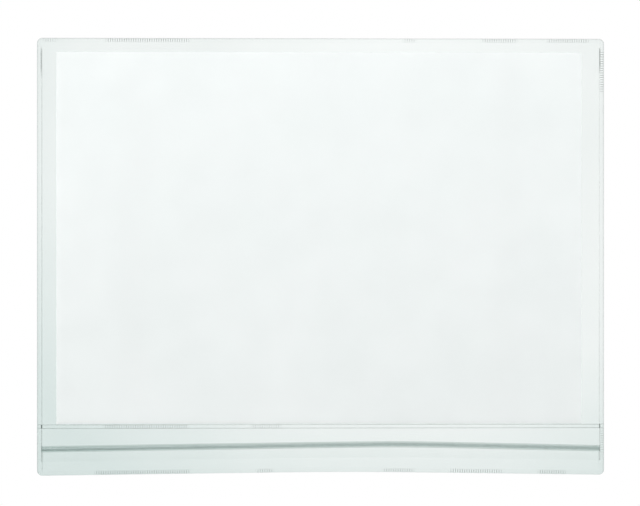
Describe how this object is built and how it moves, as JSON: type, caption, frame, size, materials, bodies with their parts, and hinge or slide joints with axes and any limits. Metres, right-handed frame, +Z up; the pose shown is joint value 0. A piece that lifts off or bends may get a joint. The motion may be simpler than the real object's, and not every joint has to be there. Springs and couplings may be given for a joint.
{
  "type": "magnetic document pocket",
  "caption": "Clear soft-film landscape document pocket with knurled welds, a lower closing flap over a grooved lip, magnet strips on its back and a sheet that slides out below.",
  "frame": {"origin": "on the steel surface, behind the middle of the pocket's outline", "axes": "+Z up the pocket, +X to the viewer's right, +Y into the steel; the front faces -Y"},
  "size_m": [0.321, 0.0055, 0.247],
  "materials": {
    "clear_film": "clear soft PVC film, glossy, faint cool tint",
    "welded_film": "clear PVC film fused by a knurled weld",
    "closure_film": "clear extruded PVC with a grooved edge that looks grey-green",
    "paper": "plain matt white paper",
    "magnet": "matt ferrite-filled flexible magnet",
    "tape": "thin double-sided adhesive tape"
  },
  "bodies": {
    "pocket": {"back_panel": "clear_film", "front_window": "clear_film", "top_edge_weld": "welded_film", "left_edge_weld": "welded_film", "right_edge_weld": "welded_film", "bottom_edge_weld": "welded_film", "flap_seam": "welded_film", "retaining_lip": "closure_film", "magnet_strip_left": "magnet", "magnet_strip_right": "magnet", "adhesive_tape_left": "tape", "adhesive_tape_right": "tape"},
    "flap": {"closing_flap": "clear_film"},
    "sheet": {"document_sheet": "paper"}
  },
  "joints": [
    {"name": "flap_hinge", "type": "hinge", "parent": "pocket", "child": "flap", "pos_m": [0, -0.00555, -0.0971], "axis": [-1, 0, 0], "range_deg": [0, 150]},
    {"name": "sheet_slide", "type": "slide", "parent": "pocket", "child": "sheet", "axis": [0, 0, -1], "range_m": [0, 0.24]}
  ]
}
